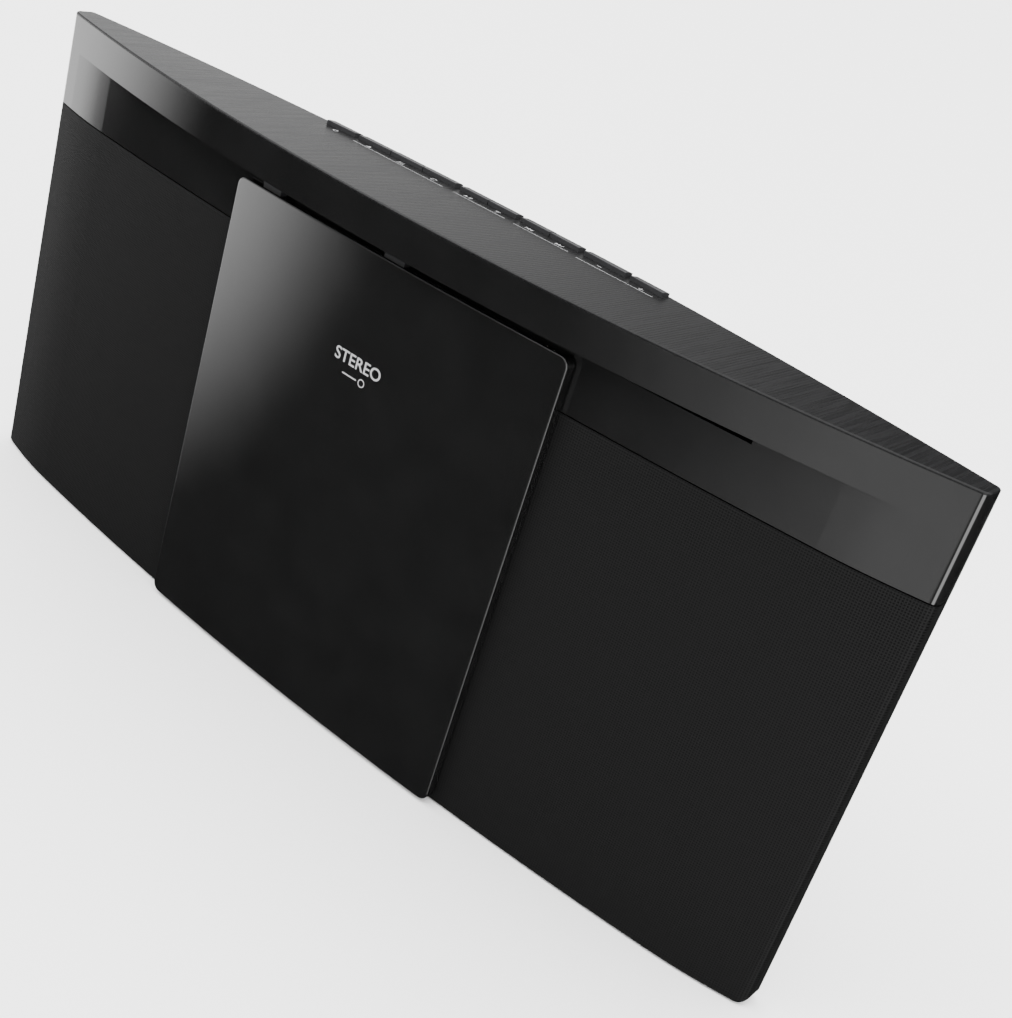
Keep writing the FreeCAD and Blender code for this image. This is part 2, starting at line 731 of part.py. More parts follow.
def gear_solid():
    """A spur gear with involute flanks, about Z from 0 up, with a tooth space centred on the -Y side."""
    count = int(d.pinion_teeth.number)
    module = d.gear_module.number
    radius = pitch_r.number
    base = radius * math.cos(math.radians(20))
    tip, root = radius + 0.8 * module, radius - 1.1 * module
    involute = math.tan(math.radians(20)) - math.radians(20)
    half = (math.pi * module / 2 - d.gear_backlash.number) / 2 / radius + involute
    flank = []
    for step in range(5):
        at = base + (tip - base) * step / 4
        pressure = math.acos(min(1, base / at))
        flank.append((at, half - (math.tan(pressure) - pressure)))
    flank = [(root, flank[0][1] + 0.03)] + flank
    points = []
    for tooth in range(count):
        middle = -math.pi / 2 + (tooth + 0.5) * 2 * math.pi / count
        side = [(at, middle - spread) for at, spread in flank] + [(at, middle + spread)
                                                                  for at, spread in reversed(flank)]
        points += [FreeCAD.Vector(at * math.cos(turn), at * math.sin(turn), 0) for at, turn in side]
    face = Part.Face(Part.makePolygon(points + points[:1]))
    return face.extrude(FreeCAD.Vector(0, 0, d.gear_face.number))


def door_rails():
    front, back = d.rack_back - d.rail_gap, d.rack_back + d.rack_thick + d.rail_gap
    left, right = carrier_left - 2, carrier_right + 82
    upper = new_body("door_upper_rail")
    shelf = lip_z + d.lip_thick + 0.4
    channel_strip(upper, "Pad", front - d.rail_wall, back + d.rail_wall, left, right, shelf, cover_z)
    channel_strip(upper, "Pocket", front, back, left - 1, right + 1, shelf, carrier_high_z + d.rail_gap)
    lower = new_body("door_lower_rail")
    channel_strip(lower, "Pad", front - 1, back + d.rail_wall, left, right, rail_low_z, carrier_low_z + 1.2)
    channel_strip(lower, "Pocket", front - 2, back, left - 1, right + 1, carrier_low_z - d.rail_gap,
                  carrier_low_z + 1.2)


def door_drive():
    """The pinion on its shaft, and the geared motor below it."""
    motor_top = rail_low_z - 0.4
    shaft_low = motor_top - 5
    gear = document.addObject("Part::Feature", "door_pinion_teeth")
    gear.Shape = gear_solid()
    angle = math.degrees(math.asin(pinion_x.number / pinion_r.number))
    gear.Placement.Rotation = FreeCAD.Rotation(FreeCAD.Vector(0, 0, 1), angle)
    place(gear, pinion_x, pinion_y, gear_z)
    shaft = cylinder_part("door_pinion_shaft", d.shaft_radius, gear_z + 0.5 - shaft_low, pinion_x, pinion_y,
                          shaft_low)
    join("door_pinion", "MultiFuse", [gear, shaft])
    can = cylinder_part("door_motor_can", 9.0, 26.0, pinion_x, pinion_y + 1, motor_top - 26)
    bore = cylinder_part("door_motor_bore", d.shaft_radius + d.running_gap, 6.0, pinion_x, pinion_y,
                         motor_top - 6)
    cut("door_motor", can, bore)


# Disc bay and player.

def cd_bay():
    """The plate behind the door, the ring round the disc, and the floor behind the disc."""
    plate = new_body("cd_bay")
    rim_r = well_r + d.bay_wall
    channel_strip(plate, "Pad", d.rail_gap, d.rail_gap + d.bay_plate, -bay_half, bay_half, bay_low, bay_high)
    front_step(plate, "Pocket", lambda sketch: circle(sketch, d.disc_x, d.disc_z, rim_r + d.running_gap),
               -half_depth, floor_back_y)
    ring = new_body("disc_well_ring")
    front_step(ring, "Pad", lambda sketch: circle(sketch, d.disc_x, d.disc_z, rim_r), bay_front_y, well_y)
    channel_strip(ring, "Pocket", -10, d.rail_gap, -bay_half, bay_half, bay_low, bay_high)
    front_step(ring, "Pocket", lambda sketch: circle(sketch, d.disc_x, d.disc_z, well_r),
               -half_depth, well_y + 1)
    floor = new_body("disc_well_floor")
    front_step(floor, "Pad", lambda sketch: circle(sketch, d.disc_x, d.disc_z, rim_r), well_y, floor_back_y)
    front_step(floor, "Pocket", lambda sketch: circle(sketch, d.disc_x, d.disc_z, 4.5),
               -half_depth, floor_back_y + 1)
    reach = d.lens_radius + 0.8
    front_step(floor, "Pocket", lambda sketch: rectangle(
        sketch, lens_x - reach, d.disc_z - reach, lens_x + d.sled_travel + reach, d.disc_z + reach),
        -half_depth, floor_back_y + 1)
    for x, z in post_places:
        front_step(floor, "Pad", lambda sketch: circle(sketch, d.disc_x + x, d.disc_z + z, 2.6),
                   floor_back_y - 0.5, deck_y - 2)


def deck():
    """The plate that carries both motors and the rods, hung on the bay's posts by rubber dampers."""
    pieces = [box_part("cd_deck_plate", d.disc_x - 33.5, deck_y, d.disc_z - 37, d.disc_x + 70.5,
                       deck_y + d.deck_thick, d.disc_z + 36)]
    block_y = sled_y + d.sled_thick / 2
    rod_ends = (lens_x - d.sled_length / 2 - 4.2, lens_x + d.sled_travel + d.sled_length / 2 + 1)
    rods = []
    for name, sign in (("lower", -1), ("upper", 1)):
        z = d.disc_z + d.rod_spacing / 2 * sign
        for end, x in zip(("near", "far"), rod_ends):
            pieces.append(box_part("rod_block_%s_%s" % (name, end), x, block_y - 2.8, z - 2.8, x + 3,
                                   deck_y + 0.2, z + 2.8))
        rods.append(cylinder_part("guide_rod_" + name, d.rod_radius, rod_ends[1] - rod_ends[0] + 3,
                                  rod_ends[0], block_y, z, "X"))
    solid = join("cd_deck_solid", "MultiFuse", pieces)
    holes = [cylinder_part("rod_hole_" + name, d.rod_radius, 100, -20, block_y,
                           d.disc_z + d.rod_spacing / 2 * sign, "X")
             for name, sign in (("lower", -1), ("upper", 1))]
    holes.append(cylinder_part("sled_shaft_hole", 2.0, 20, sled_gear_x, deck_y - 5, sled_gear_z, "Y"))
    cut("cd_deck", solid, join("cd_deck_holes", "MultiFuse", holes))
    join("guide_rods", "Compound", rods)
    dampers = [cylinder_part("damper_%d" % number, 4.0, 2.0, d.disc_x + x, deck_y - 2, d.disc_z + z, "Y")
               for number, (x, z) in enumerate(post_places, start=1)]
    join("deck_dampers", "Compound", dampers)


def turntable():
    """The hub and platter on its shaft, and the motor that the shaft runs in."""
    disc_y = bay_front_y + 5.15
    shaft_end = floor_back_y + 4
    turned("turntable", "XY", [
        (0, -2.6), (5.2, -2.6), (d.hub_radius, -1.2), (d.hub_radius, 0),
        (d.platter_radius, 0), (d.platter_radius, 1.6), (3.2, 1.6), (3.2, well_y - disc_y + 1.5),
        (d.shaft_radius, well_y - disc_y + 1.5), (d.shaft_radius, shaft_end - disc_y),
        (0, shaft_end - disc_y)],
        d.disc_x, disc_y, d.disc_z)
    front = floor_back_y + 0.3
    can = cylinder_part("spindle_motor_can", d.spindle_motor_radius, deck_y - front, d.disc_x, front,
                        d.disc_z, "Y")
    bore = cylinder_part("spindle_motor_bore", d.shaft_radius + d.running_gap, 5.0, d.disc_x, front - 0.5,
                         d.disc_z, "Y")
    cut("spindle_motor", can, bore)


def laser_sled():
    """The sled with its lens turret, bores for the rods and a rack along its lower edge."""
    half, low, high = d.sled_length / 2, d.disc_z - d.sled_width / 2, d.disc_z + d.sled_width / 2
    back = sled_y + d.sled_thick
    base = box_part("sled_base", lens_x - half, sled_y, low, lens_x + half, back, high)
    turret = cylinder_part("sled_turret", d.lens_radius, 4.2, lens_x, sled_y - 3.6, d.disc_z, "Y")
    bar_end = lens_x - half + d.sled_travel + 8
    bar = box_part("sled_rack_bar", lens_x - half, sled_y + 1, low - 1.5, bar_end, sled_y + 1 + d.gear_face,
                   low + 0.2)
    teeth = []
    pitch = math.pi * d.gear_module.number
    for step in range(-20, 8):
        x = sled_gear_x.number + step * pitch
        if lens_x.number - half.number + 1.5 < x < bar_end.number - 1.2:
            tooth = rack_tooth()
            tooth.rotate(FreeCAD.Vector(), FreeCAD.Vector(1, 0, 0), -90)
            tooth.translate(FreeCAD.Vector(x, sled_y.number + 1, rack_line_z.number))
            teeth.append(tooth)
    rack = document.addObject("Part::Feature", "sled_rack_teeth")
    rack.Shape = Part.makeCompound(teeth)
    solid = join("sled_solid", "MultiFuse", [base, turret, bar, rack])
    bores = [cylinder_part("sled_bore_%s" % name, d.rod_radius + d.running_gap, 60, lens_x - 30,
                           sled_y + d.sled_thick / 2, d.disc_z + d.rod_spacing / 2 * sign, "X")
             for name, sign in (("lower", -1), ("upper", 1))]
    cut("laser_sled", solid, join("sled_bores", "MultiFuse", bores))


def sled_drive():
    gear = document.addObject("Part::Feature", "sled_gear_teeth")
    gear.Shape = gear_solid()
    gear.Placement.Rotation = FreeCAD.Rotation(FreeCAD.Vector(1, 0, 0), -90)
    place(gear, sled_gear_x, sled_y + 1, sled_gear_z)
    end = deck_y + d.deck_thick + 4
    shaft = cylinder_part("sled_gear_shaft", d.shaft_radius, end - sled_y - 1, sled_gear_x, sled_y + 1,
                          sled_gear_z, "Y")
    join("sled_gear", "MultiFuse", [gear, shaft])
    front = deck_y + d.deck_thick
    can = cylinder_part("sled_motor_can", 8.0, 9.0, sled_gear_x, front, sled_gear_z, "Y")
    bore = cylinder_part("sled_motor_bore", d.shaft_radius + d.running_gap, 5.0, sled_gear_x, front,
                         sled_gear_z, "Y")
    cut("sled_motor", can, bore)


# Drivers.

def drivers():
    """Each driver faces outwards square to the chassis behind it."""
    inset = grille_thick + d.chassis_gap + d.chassis_thick
    sagitta = d.driver_radius * d.driver_radius / (channel_r * 2)
    reach = channel_r - inset - sagitta - 0.2
    tilt = math.degrees(math.asin(d.driver_x.number / channel_r.number))
    rim, magnet = d.driver_radius, d.magnet_radius
    front_depth = d.driver_depth * 0.55
    profiles = {
        "speaker_basket_": [(rim - 4.5, 0), (rim, 0), (rim, 1.6), (rim - 4, 1.6), (magnet, front_depth),
                            (magnet - 3.5, front_depth), (rim - 6.5, 2.0)],
        "speaker_magnet_": [(0, front_depth), (magnet, front_depth), (magnet, d.driver_depth),
                            (0, d.driver_depth)],
        "speaker_cone_": [(0, 3.2), (4, 3.5), (7.5, 5.4), (rim - 9, 1.2), (rim - 7, 0.2), (rim - 5.6, 0.2),
                          (rim - 5.6, 0.6), (rim - 7, 0.7), (rim - 9, 1.8), (7.5, 6.2), (7.5, 9.5), (0, 9.5)],
    }
    for side, sign in (("left", -1), ("right", 1)):
        x = d.driver_x * sign
        y = channel_cy - (reach * reach - x * x).root()
        for name, points in profiles.items():
            body = turned(name + side, "XY", points, x, y, d.driver_z)
            body.Placement.Rotation = FreeCAD.Rotation(FreeCAD.Vector(0, 0, 1), tilt * sign)


# Electronics.

def electronics():
    board_y = half_depth - d.rear_wall - 6.4
    box_part("main_board", -62, board_y, 46, 30, board_y + d.board_thick, 112)
    box_part("tuner_module", -58, board_y - 4, 50, -34, board_y, 70)
    fins = [box_part("sink_base", -60, board_y - 2, 76, -30, board_y, 108)]
    fins += [box_part("sink_fin_%d" % step, -60 + step * 4.8, board_y - 6, 76, -58.8 + step * 4.8,
                      board_y - 1.9, 108) for step in range(7)]
    join("heat_sink", "MultiFuse", fins)
    box_part("power_board", -66, -6, 6, 66, -6 + d.board_thick, 24)
    coil = box_part("transformer_coil", -22, -6 + d.board_thick, 8, 2, 12, 22)
    core = box_part("transformer_core", -18, -3, 6.5, -2, 10, 23.5)
    join("transformer", "MultiFuse", [coil, core])
    rear_strip(new_body("button_board"), "Pad", 14, d.rear_wall + 0.5, -80, 80, button_board_z,
               button_board_z + d.board_thick)
    box_part("display_module", -32, channel_y(0) - 6.3, lip_z + d.lip_thick + 0.4, 32, channel_y(0) - 3.2,
             cover_z - 0.5)
    box_part("infrared_receiver", 38, channel_y(0) - 5.6, lip_z + d.lip_thick + 0.4, 45, channel_y(0) - 2.4,
             cover_z - 1)


def sockets():
    """The sockets stand in openings of the rear cover; each round one has a bore for its plug."""
    gap = 0.2
    x0, z0, x1, z1 = socket_openings[0]
    face = rear_y(x0) - 1
    shell = box_part("ac_inlet_shell", x0 + gap, face - 14, z0 + gap, x1 - gap, face, z1 - gap)
    well = box_part("ac_inlet_well", x0 + 3, face - 10, z0 + 2.8, x1 - 3, face + 1, z1 - 2.8)
    pins = [cylinder_part("ac_inlet_pin_%d" % number, 1.1, 10, x, face - 12, (z0 + z1) / 2, "Y")
            for number, x in enumerate(((x0 + x1) / 2 - 4, (x0 + x1) / 2 + 4), start=1)]
    join("ac_inlet", "MultiFuse", [cut("ac_inlet_body", shell, well)] + pins)
    for name, index, bore, deep in (("antenna_socket", 1, 3.4, 9), ("aux_socket", 2, d.jack_radius, 12),
                                    ("headphone_socket", 3, d.jack_radius, 12)):
        x0, z0, x1, z1 = socket_openings[index]
        face = rear_y(x1) - 0.4
        block = box_part(name + "_block", x0 + gap, face - 14, z0 + gap, x1 - gap, face, z1 - gap)
        hole = cylinder_part(name + "_bore", bore, deep + 1, (x0 + x1) / 2, face - deep, (z0 + z1) / 2, "Y")
        cut(name, block, hole)


# Buttons.

def buttons():
    switches = []
    for group in BUTTON_GROUPS:
        for name, left, width in group:
            right = left + width
            body = new_body("button_" + name)
            rear_strip(body, "Pad", d.button_depth, 0.1, left, right, stem_top_z, top_z + d.button_raise)
            rear_strip(body, "Pad", d.button_depth, d.button_depth - d.stem_thick, left + 2, right - 2,
                       stem_low_z, stem_top_z + 0.5)
            rear_strip(body, "Pad", d.button_depth + 2.5, d.button_depth - d.stem_thick, left + 2, right - 2,
                       stem_low_z + 0.1, cover_z - 0.3)
            sketch = new_sketch(body, "YZ", left - 1)
            middle = left + width / 2
            back, front = rear_y(middle) + 2, rear_y(middle, d.button_depth)
            rise = top_z + d.button_raise
            polygon(sketch, [(front + 0.8, rise), (back, rise - 1.0), (back, rise + 1),
                             (front + 0.8, rise + 1)])
            slope = extrude(body, "Pocket", sketch, width + 2)
            slope.Reversed = True
            middle_y = rear_y(middle, d.button_depth - d.stem_thick / 2)
            low = button_board_z + d.board_thick
            base = box_part("key_%s_base" % name, middle - 2.2, middle_y - 2.9, low, middle + 2.2,
                            middle_y + 0.9, low + 1.2)
            tip = cylinder_part("key_%s_tip" % name, 1.0, key_top_z - low - 1, middle, middle_y, low + 1)
            switches.append(join("key_" + name, "MultiFuse", [base, tip]))
    join("key_switches", "Compound", switches)


# Fastenings and feet.

def screw(name, x, start, z):
    """A pan-head screw that runs along Y, with its head at the rear."""
    shank = cylinder_part(name + "_shank", d.screw_radius - 0.15, screw_length + 0.1, x, start, z, "Y")
    head = cylinder_part(name + "_head", d.screw_head_radius, screw_sink - 0.6, x, start + screw_length, z,
                         "Y")
    return join(name, "MultiFuse", [shank, head])


def fastenings():
    covers = []
    for number, (x, z) in enumerate(screw_places, start=1):
        start = rear_y(x, screw_sink) - screw_length
        covers.append(screw("cover_screw_%d" % number, x, start, z))
    feet = []
    for number, (x, y) in enumerate(foot_places, start=1):
        pad = cylinder_part("foot_%d_pad" % number, d.foot_radius, d.feet_proud, x, y, 0)
        plug = cylinder_part("foot_%d_plug" % number, d.screw_radius - 0.1, d.feet_proud + d.floor_thick,
                             x, y, 0)
        feet.append(join("foot_%d" % number, "MultiFuse", [pad, plug]))
    join("cover_screws", "Compound", covers)
    join("rubber_feet", "Compound", feet)


NODES = """
top_cover front_fascia rear_cover bottom_cover grille_cloth_left grille_cloth_right grille_frame_left
grille_frame_right front_chassis cd_door door_carrier door_upper_rail door_lower_rail door_pinion door_motor
cd_bay disc_well_ring disc_well_floor cd_deck guide_rods deck_dampers turntable spindle_motor laser_sled
sled_gear sled_motor
speaker_basket_left speaker_basket_right speaker_magnet_left speaker_magnet_right speaker_cone_left
speaker_cone_right main_board tuner_module heat_sink power_board transformer button_board key_switches
display_module infrared_receiver ac_inlet antenna_socket aux_socket headphone_socket cover_screws rubber_feet
""".split() + ["button_" + name for group in BUTTON_GROUPS for name, left, width in group]


def build():
    for make in (top_cover, front_fascia, grilles, front_chassis, rear_cover, bottom_cover, cd_door,
                 door_carrier, door_rails, door_drive, cd_bay, deck, turntable, laser_sled, sled_drive,
                 drivers, electronics, sockets, buttons, fastenings):
        make()
    document.recompute()
    for item in document.Objects:
        if "Invalid" in item.State or "Error" in item.State:
            raise RuntimeError("%s failed: %s" % (item.Name, item.State))
    os.makedirs("parts", exist_ok=True)
    for name in NODES:
        item = document.getObjectsByLabel(name)[0]
        if item.Shape.isNull() or not item.Shape.isValid():
            raise RuntimeError(name + " has no valid shape")
        item.Shape.exportStep("parts/%s.step" % name)
        print("%-24s %6.0f mm3 in %d solids" % (name, item.Shape.Volume, len(item.Shape.Solids)))


build()
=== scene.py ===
import json
import math

import bmesh
import bpy
from mathutils import Matrix, Vector


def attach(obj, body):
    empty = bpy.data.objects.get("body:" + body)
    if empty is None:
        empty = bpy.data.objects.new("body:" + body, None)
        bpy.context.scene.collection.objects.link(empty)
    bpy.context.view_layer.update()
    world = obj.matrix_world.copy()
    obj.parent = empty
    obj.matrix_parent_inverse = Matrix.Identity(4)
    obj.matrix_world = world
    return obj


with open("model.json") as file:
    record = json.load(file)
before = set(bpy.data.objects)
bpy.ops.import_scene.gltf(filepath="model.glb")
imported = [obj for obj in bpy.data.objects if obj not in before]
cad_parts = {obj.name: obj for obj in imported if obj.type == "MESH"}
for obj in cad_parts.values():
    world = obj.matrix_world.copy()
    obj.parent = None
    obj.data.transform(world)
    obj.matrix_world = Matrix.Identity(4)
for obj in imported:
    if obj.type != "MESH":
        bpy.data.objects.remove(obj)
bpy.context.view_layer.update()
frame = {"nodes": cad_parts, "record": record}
nodes = frame["nodes"]

MM = 0.001

# Sizes and places of the frame's parts, in millimetres.
HALF_DEPTH = 26.1
REAR_RADIUS = 1158.125
DOOR_RADIUS = 1454.6
DOOR_HINGE_Y = 1433.3
DISC_X = -8.5
DISC_Z = 88.0
TURNTABLE_Y = -11.2
WELL_FLOOR_Y = -7.35
SLED_X = 14.5
SLED_FRONT_Y = -8.35
TOP_Z = 190.0
SOCKET_Z = 36.0
ANTENNA_X = 10.0
AUX_X = 26.0
HEADPHONE_X = 40.0
INLET_X = -41.0
PLATE_X = -110.0
PLATE_Z = 90.0

# The stage, in metres.
FLOOR_SIZE = 16.0
BACKDROP_RADIUS = 7.9


# Materials: each is one Principled shader fed by small procedural networks.

class NodeTree:
    """Short calls for the few kinds of node that the materials and the studio share."""

    def __init__(self, tree):
        self.tree = tree

    def node(self, kind, inputs=None, **settings):
        made = self.tree.nodes.new(kind)
        for key, value in settings.items():
            setattr(made, key, value)
        for key, value in (inputs or {}).items():
            if isinstance(value, bpy.types.NodeSocket):
                self.tree.links.new(value, made.inputs[key])
            else:
                made.inputs[key].default_value = value
        return made

    def math(self, operation, *values):
        made = self.node("ShaderNodeMath", dict(enumerate(values)), operation=operation)
        return made.outputs["Value"]

    def ramp(self, value, low, high, new_low, new_high, kind="LINEAR"):
        inputs = {"Value": value, "From Min": low, "From Max": high, "To Min": new_low, "To Max": new_high}
        return self.node("ShaderNodeMapRange", inputs, clamp=True, interpolation_type=kind).outputs["Result"]


class Material(NodeTree):
    """A Principled material fed by procedural networks."""

    def __init__(self, name, color, roughness, **sockets):
        self.material = bpy.data.materials.new(name)
        self.material.use_nodes = True
        super().__init__(self.material.node_tree)
        self.shader = self.tree.nodes["Principled BSDF"]
        self.shader.inputs["Base Color"].default_value = (*color, 1)
        self.shader.inputs["Roughness"].default_value = roughness
        for socket, value in sockets.items():
            self.shader.inputs[socket.replace("_", " ")].default_value = value
        self.place = self.node("ShaderNodeTexCoord").outputs["Object"]

    def link(self, output, socket):
        self.tree.links.new(output, self.shader.inputs[socket])

    def scaled(self, x, y, z):
        """The place on the object, stretched along its axes."""
        return self.node("ShaderNodeMapping", {"Vector": self.place, "Scale": (x, y, z)}).outputs["Vector"]

    def noise(self, scale, detail=3.0, vector=None, distortion=0.0):
        inputs = {"Vector": vector or self.place, "Scale": scale, "Detail": detail, "Distortion": distortion}
        return self.node("ShaderNodeTexNoise", inputs).outputs["Fac"]

    def blend(self, factor, one, two):
        made = self.node("ShaderNodeMix", data_type="RGBA")
        self.tree.links.new(factor, made.inputs[0])
        made.inputs[6].default_value = (*one, 1)
        made.inputs[7].default_value = (*two, 1)
        return made.outputs[2]

    def bump(self, height, strength, distance):
        inputs = {"Height": height, "Strength": strength, "Distance": distance}
        previous = self.shader.inputs["Normal"].links
        if previous:
            inputs["Normal"] = previous[0].from_socket
        self.link(self.node("ShaderNodeBump", inputs).outputs["Normal"], "Normal")


def moulded(name, color, roughness, grain=900, depth=0.00004, spread=0.08, gloss=0.35):
    """Moulded plastic: a fine spark-eroded grain and slightly uneven gloss."""
    made = Material(name, color, roughness, Specular_IOR_Level=gloss)
    fine = made.noise(grain, 4)
    broad = made.noise(35, 2)
    made.link(made.ramp(broad, 0.3, 0.7, roughness - spread, roughness + spread), "Roughness")
    lighter = [min(1, value * 1.35 + 0.002) for value in color]
    made.link(made.blend(fine, color, lighter), "Base Color")
    made.bump(fine, 0.35, depth)
    return made.material


def gloss_black():
    """Piano-black moulding: deep clear gloss with the faint waviness that lacquer has."""
    made = Material("gloss_black", (0.004, 0.004, 0.004), 0.06, IOR=1.5)
    wave = made.noise(9, 1)
    dust = made.noise(500, 3)
    made.link(made.ramp(dust, 0.4, 0.7, 0.05, 0.065), "Roughness")
    made.link(made.blend(made.noise(60, 3), (0.003, 0.003, 0.003), (0.006, 0.006, 0.006)), "Base Color")
    made.bump(wave, 0.01, 0.0002)
    return made.material


def hairline_top():
    """Satin plate with fine ridges across its depth."""
    made = Material("hairline_top", (0.01, 0.01, 0.01), 0.26, Specular_IOR_Level=0.1)
    ridges = made.node("ShaderNodeTexWave", {"Vector": made.scaled(1, 0.35, 1), "Scale": 260.0,
                                             "Distortion": 0.6, "Detail": 2.0, "Detail Scale": 3.0},
                       wave_type="BANDS", bands_direction="X").outputs["Fac"]
    streak = made.noise(1, 4, made.scaled(900, 40, 40))
    made.link(made.ramp(streak, 0.3, 0.7, 0.22, 0.32), "Roughness")
    made.link(made.blend(streak, (0.004, 0.004, 0.004), (0.009, 0.009, 0.0095)), "Base Color")
    made.bump(ridges, 0.4, 0.00004)
    made.bump(streak, 0.15, 0.00002)
    return made.material


def grille_cloth():
    """Fine knitted cloth: two crossing sets of threads with dark holes between them."""
    made = Material("grille_cloth", (0.01, 0.01, 0.01), 0.5, Specular_IOR_Level=0.03)
    threads = []
    for direction in ("X", "Z"):
        wave = made.node("ShaderNodeTexWave", {"Vector": made.place, "Scale": 340.0, "Distortion": 0.25},
                         wave_type="BANDS", bands_direction=direction)
        threads.append(wave.outputs["Fac"])
    weave = made.math("MAXIMUM", *threads)
    fuzz = made.noise(5200, 3)
    made.link(made.blend(weave, (0.001, 0.001, 0.001), (0.008, 0.008, 0.008)), "Base Color")
    made.link(made.ramp(fuzz, 0.3, 0.7, 0.42, 0.6), "Roughness")
    made.bump(weave, 0.55, 0.0001)
    made.bump(fuzz, 0.2, 0.00004)
    return made.material


def metal(name, color, roughness, brushed=(600, 20, 600)):
    made = Material(name, color, roughness, Metallic=1.0)
    streak = made.noise(1, 4, made.scaled(*brushed))
    made.link(made.ramp(streak, 0.3, 0.7, roughness - 0.08, roughness + 0.1), "Roughness")
    made.link(made.blend(made.noise(45, 4), color, [value * 0.82 for value in color]), "Base Color")
    made.bump(streak, 0.2, 0.00003)
    return made.material


def circuit_board():
    """Green solder mask with darker copper tracks under it."""
    made = Material("circuit_board", (0.02, 0.11, 0.045), 0.35)
    cells = made.node("ShaderNodeTexVoronoi", {"Vector": made.place, "Scale": 190.0},
                      feature="DISTANCE_TO_EDGE", distance="CHEBYCHEV").outputs["Distance"]
    tracks = made.ramp(cells, 0.04, 0.08, 0.0, 1.0)
    made.link(made.blend(tracks, (0.03, 0.16, 0.06), (0.012, 0.075, 0.03)), "Base Color")
    made.link(made.ramp(made.noise(300, 3), 0.3, 0.7, 0.28, 0.45), "Roughness")
    made.bump(tracks, 0.3, 0.00005)
    return made.material


def paper_cone():
    made = Material("paper_cone", (0.035, 0.034, 0.033), 0.85)
    fibre = made.noise(1400, 6, distortion=1.5)
    made.link(made.blend(fibre, (0.02, 0.02, 0.02), (0.06, 0.058, 0.055)), "Base Color")
    made.link(made.ramp(fibre, 0.3, 0.7, 0.75, 0.95), "Roughness")
    made.bump(fibre, 0.5, 0.0001)
    return made.material


def rubber():
    return moulded("rubber", (0.02, 0.02, 0.02), 0.75, 1500, 0.00005, 0.06)


def print_ink():
    made = Material("print_ink", (0.3, 0.3, 0.305), 0.5)
    speckle = made.noise(3000, 3)
    made.link(made.blend(speckle, (0.2, 0.2, 0.205), (0.32, 0.32, 0.325)), "Base Color")
    made.link(made.ramp(speckle, 0.3, 0.7, 0.4, 0.6), "Roughness")
    made.bump(speckle, 0.2, 0.00001)
    return made.material


FINISHES = {
    "top_plastic": hairline_top(),
    "gloss_black": gloss_black(),
    "black_plastic": moulded("black_plastic", (0.009, 0.009, 0.0095), 0.5, gloss=0.25),
    "rail_plastic": moulded("rail_plastic", (0.03, 0.03, 0.03), 0.4, 1200),
    "grille_cloth": grille_cloth(),
    "steel": metal("zinc_steel", (0.52, 0.52, 0.5), 0.38),
    "bright_steel": metal("nickel", (0.72, 0.71, 0.68), 0.22),
    "aluminium": metal("aluminium", (0.75, 0.75, 0.76), 0.32),
    "gear_plastic": moulded("gear_plastic", (0.42, 0.41, 0.38), 0.42, 1100, 0.00002),
    "rubber": rubber(),
    "ferrite": moulded("ferrite", (0.045, 0.045, 0.05), 0.62, 2200, 0.00008),
    "cone_paper": paper_cone(),
    "circuit_board": circuit_board(),
    "switch_plastic": moulded("switch_plastic", (0.15, 0.15, 0.15), 0.45),
    "display_glass": moulded("display_glass", (0.012, 0.02, 0.018), 0.14, 700, 0.00001, 0.04),
    "button_plastic": moulded("button_plastic", (0.02, 0.02, 0.021), 0.35, 1600, 0.00002, gloss=0.3),
}


FINISHES_ADDED = {
    "print_ink": print_ink(),
    "chrome_ball": metal("chrome_ball", (0.8, 0.8, 0.8), 0.12),
    "brass": metal("brass", (0.72, 0.52, 0.25), 0.25),
    "lens_glass": moulded("lens_glass", (0.03, 0.05, 0.12), 0.08, 500, 0.000005, 0.03, 0.8),
    "socket_green": moulded("socket_green", (0.06, 0.22, 0.07), 0.4, 1200, 0.00002),
    "socket_black": moulded("socket_black", (0.012, 0.012, 0.012), 0.35, 1200, 0.00002),
    "label_grey": moulded("label_grey", (0.2, 0.2, 0.205), 0.45, 2500, 0.00001),
}


def dress_cad_nodes():
    for part in frame["record"]["subparts"]:
        mesh = nodes[part["node"]].data
        mesh.materials.clear()
        mesh.materials.append(FINISHES[part["material_slot"]])


# Added pieces: small things that lie on the frame's parts. Lengths are in millimetres until they are built.

def rear_y(x):
    """The back's face in plan."""
    return HALF_DEPTH - REAR_RADIUS + math.sqrt(REAR_RADIUS ** 2 - x * x)


def door_y(x):
    """The door's front face in plan."""
    return DOOR_HINGE_Y - math.sqrt(DOOR_RADIUS ** 2 - x * x)


def finish_piece(name, bm, finish, body, smooth=True):
    mesh = bpy.data.meshes.new(name)
    bmesh.ops.recalc_face_normals(bm, faces=bm.faces)
    bm.to_mesh(mesh)
    bm.free()
    mesh.transform(Matrix.Scale(MM, 4))
    item = bpy.data.objects.new(name, mesh)
    bpy.context.scene.collection.objects.link(item)
    for polygon in mesh.polygons:
        polygon.use_smooth = smooth
    mesh.materials.append(FINISHES.get(finish) or FINISHES_ADDED[finish])
    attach(item, body)
    return item


def slab(bm, outline, place, thick):
    """A closed outline of (u, v) pairs laid out by place(u, v, height), with its back at height 0."""
    low = [bm.verts.new(place(u, v, 0.0)) for u, v in outline]
    high = [bm.verts.new(place(u, v, thick)) for u, v in outline]
    bm.faces.new(high)
    bm.faces.new(list(reversed(low)))
    for index in range(len(outline)):
        after = (index + 1) % len(outline)
        bm.faces.new((low[index], low[after], high[after], high[index]))


